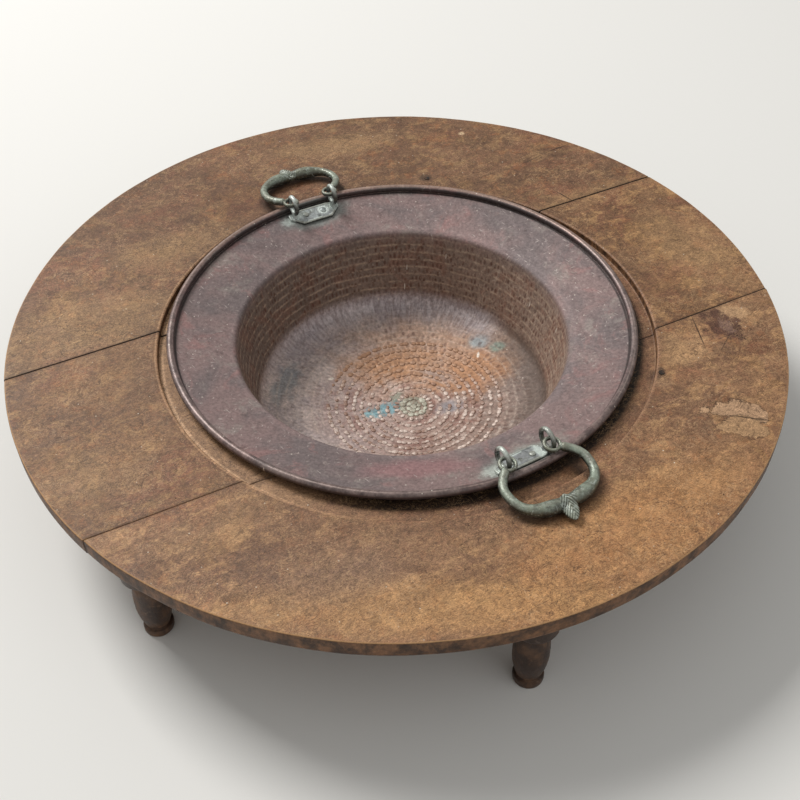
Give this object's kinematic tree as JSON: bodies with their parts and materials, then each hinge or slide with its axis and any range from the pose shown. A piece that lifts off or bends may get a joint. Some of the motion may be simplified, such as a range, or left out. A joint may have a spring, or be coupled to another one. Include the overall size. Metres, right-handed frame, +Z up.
{
  "type": "charcoal brazier",
  "caption": "Low round wooden stand on turned feet with a lift-out hammered copper fire pan hung by its flange, and bail handles linked through eye lugs",
  "frame": {"origin": "on the floor, under the middle of the round top", "axes": "+Z up; +X to the right and +Y away from a viewer who stands where the picture was taken"},
  "size_m": [0.8039, 0.8024, 0.1663],
  "materials": {
    "oak_top": "worn waxed planks, patchy brown with paler rubbed places",
    "dark_oak": "dark stained, turned and planed",
    "hammered_copper": "hammered and punched copper, heat-stained violet-brown with orange copper patches",
    "aged_bronze": "cast, greenish brown patina with pale verdigris in the hollows",
    "forged_iron": "forged, dark and slightly rusty"
  },
  "bodies": {
    "stand": {"plank_back": "oak_top", "plank_left": "oak_top", "plank_right": "oak_top", "plank_front": "oak_top", "batten_left": "dark_oak", "batten_right": "dark_oak", "nails_left": "forged_iron", "nails_right": "forged_iron", "top_nails": "forged_iron", "foot_1": "dark_oak", "foot_2": "dark_oak", "foot_3": "dark_oak", "foot_4": "dark_oak", "foot_5": "dark_oak", "foot_6": "dark_oak"},
    "pan": {"pan": "hammered_copper", "rim_wire": "forged_iron", "front_plate": "aged_bronze", "back_plate": "aged_bronze", "front_rivets": "aged_bronze", "back_rivets": "aged_bronze"},
    "front_handle": {"front_handle": "aged_bronze"},
    "back_handle": {"back_handle": "aged_bronze"}
  },
  "joints": [
    {"name": "pan_lift", "type": "slide", "parent": "stand", "child": "pan", "axis": [0, 0, 1], "range_m": [0, 0.16]},
    {"name": "front_handle_swing", "type": "hinge", "parent": "pan", "child": "front_handle", "pos_m": [0.11884, -0.20436, 0.154], "axis": [-0.8704, -0.4924, 0], "range_deg": [0, 200]},
    {"name": "back_handle_swing", "type": "hinge", "parent": "pan", "child": "back_handle", "pos_m": [-0.09458, 0.19282, 0.154], "axis": [0.891, 0.454, 0], "range_deg": [0, 200]}
  ]
}
